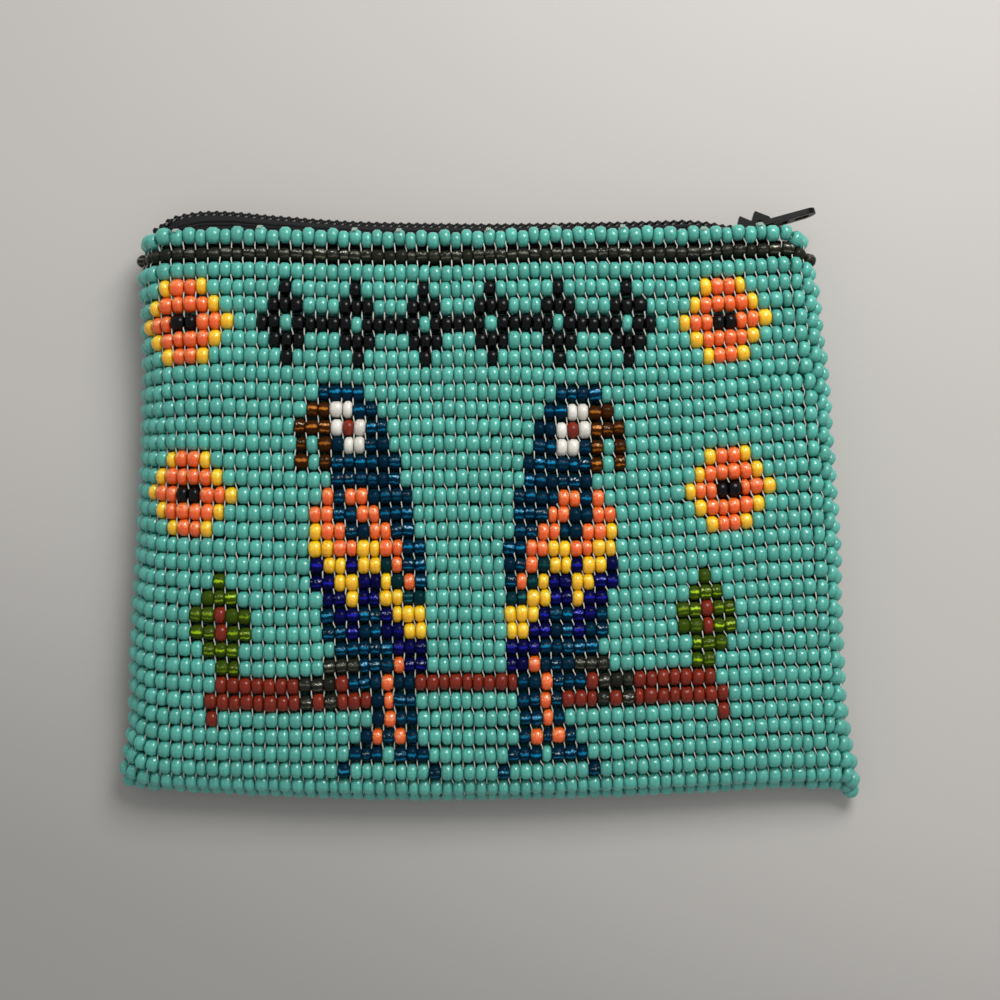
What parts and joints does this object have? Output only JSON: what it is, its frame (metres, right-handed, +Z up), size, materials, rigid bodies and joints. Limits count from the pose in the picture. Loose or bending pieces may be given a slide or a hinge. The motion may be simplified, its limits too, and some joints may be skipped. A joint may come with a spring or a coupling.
{
  "type": "beaded coin purse",
  "caption": "Flat pouch of woven glass seed beads with a coil zip along one edge and a swinging pull tab, lying closed on its back; holds coins and small things.",
  "frame": {"origin": "middle of the bounding box's underside, on the surface that the purse lies on", "axes": "+X along the zip towards its closed end, +Y from the bottom edge towards the zip, +Z up out of the surface, through the front panel"},
  "size_m": [0.1058, 0.0852, 0.0125],
  "materials": {
    "beads": "opaque glossy glass seed beads, mostly turquoise",
    "tape": "black woven zip tape",
    "coil": "black nylon coil",
    "enamel": "black enamelled metal",
    "thread": "cream weaving and sewing thread"
  },
  "bodies": {
    "purse": {"front_panel": "beads", "back_panel": "beads", "zip_tape_front": "tape", "zip_tape_back": "tape", "zip_chain": "coil", "slider": "enamel"},
    "tab": {"pull_tab": "enamel"}
  },
  "joints": [
    {"name": "tab_swing", "type": "hinge", "parent": "purse", "child": "tab", "pos_m": [0.03945, 0.04003, 0.00545], "axis": [0, 0, 1], "range_deg": [-18, 154]}
  ]
}
